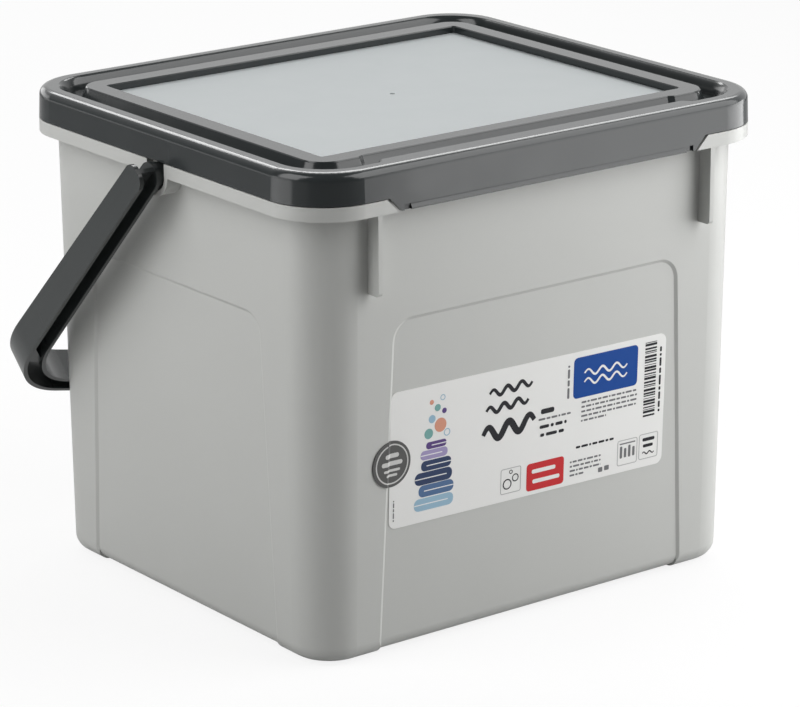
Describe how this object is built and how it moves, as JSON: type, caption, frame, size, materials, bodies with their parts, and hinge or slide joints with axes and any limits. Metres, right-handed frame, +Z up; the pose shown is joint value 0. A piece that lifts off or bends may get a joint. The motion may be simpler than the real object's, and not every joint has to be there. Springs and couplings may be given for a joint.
{
  "type": "storage tub with lid and bail",
  "caption": "Rectangular plastic storage tub with a push-on lid, an inlay panel in the lid, a swinging carry bail and a front label.",
  "frame": {"origin": "centre of the tub's flat base, on the surface it stands on", "axes": "+Z up out of the base, -Y out of the front with the label, +X to the right along the bail's pivot axis"},
  "size_m": [0.23, 0.2092, 0.18],
  "materials": {
    "tub_plastic": "light warm grey, satin moulded",
    "lid_plastic": "dark slate grey, satin moulded",
    "panel_plastic": "pale blue-grey, smooth satin",
    "handle_plastic": "dark slate grey, satin moulded",
    "label_film": "pale printed film, slight gloss",
    "sticker_film": "dark grey film, slight gloss"
  },
  "bodies": {
    "tub": {"tub": "tub_plastic", "front_label": "label_film", "round_sticker": "sticker_film"},
    "lid": {"lid": "lid_plastic", "lid_panel": "panel_plastic"},
    "handle": {"handle": "handle_plastic"}
  },
  "joints": [
    {"name": "lid_lift", "type": "slide", "parent": "tub", "child": "lid", "axis": [0, 0, 1], "range_m": [0, 0.06]},
    {"name": "handle_swing", "type": "hinge", "parent": "tub", "child": "handle", "pos_m": [0, 0, 0.1633], "axis": [1, 0, 0], "range_deg": [-3.5, 274.5]}
  ]
}
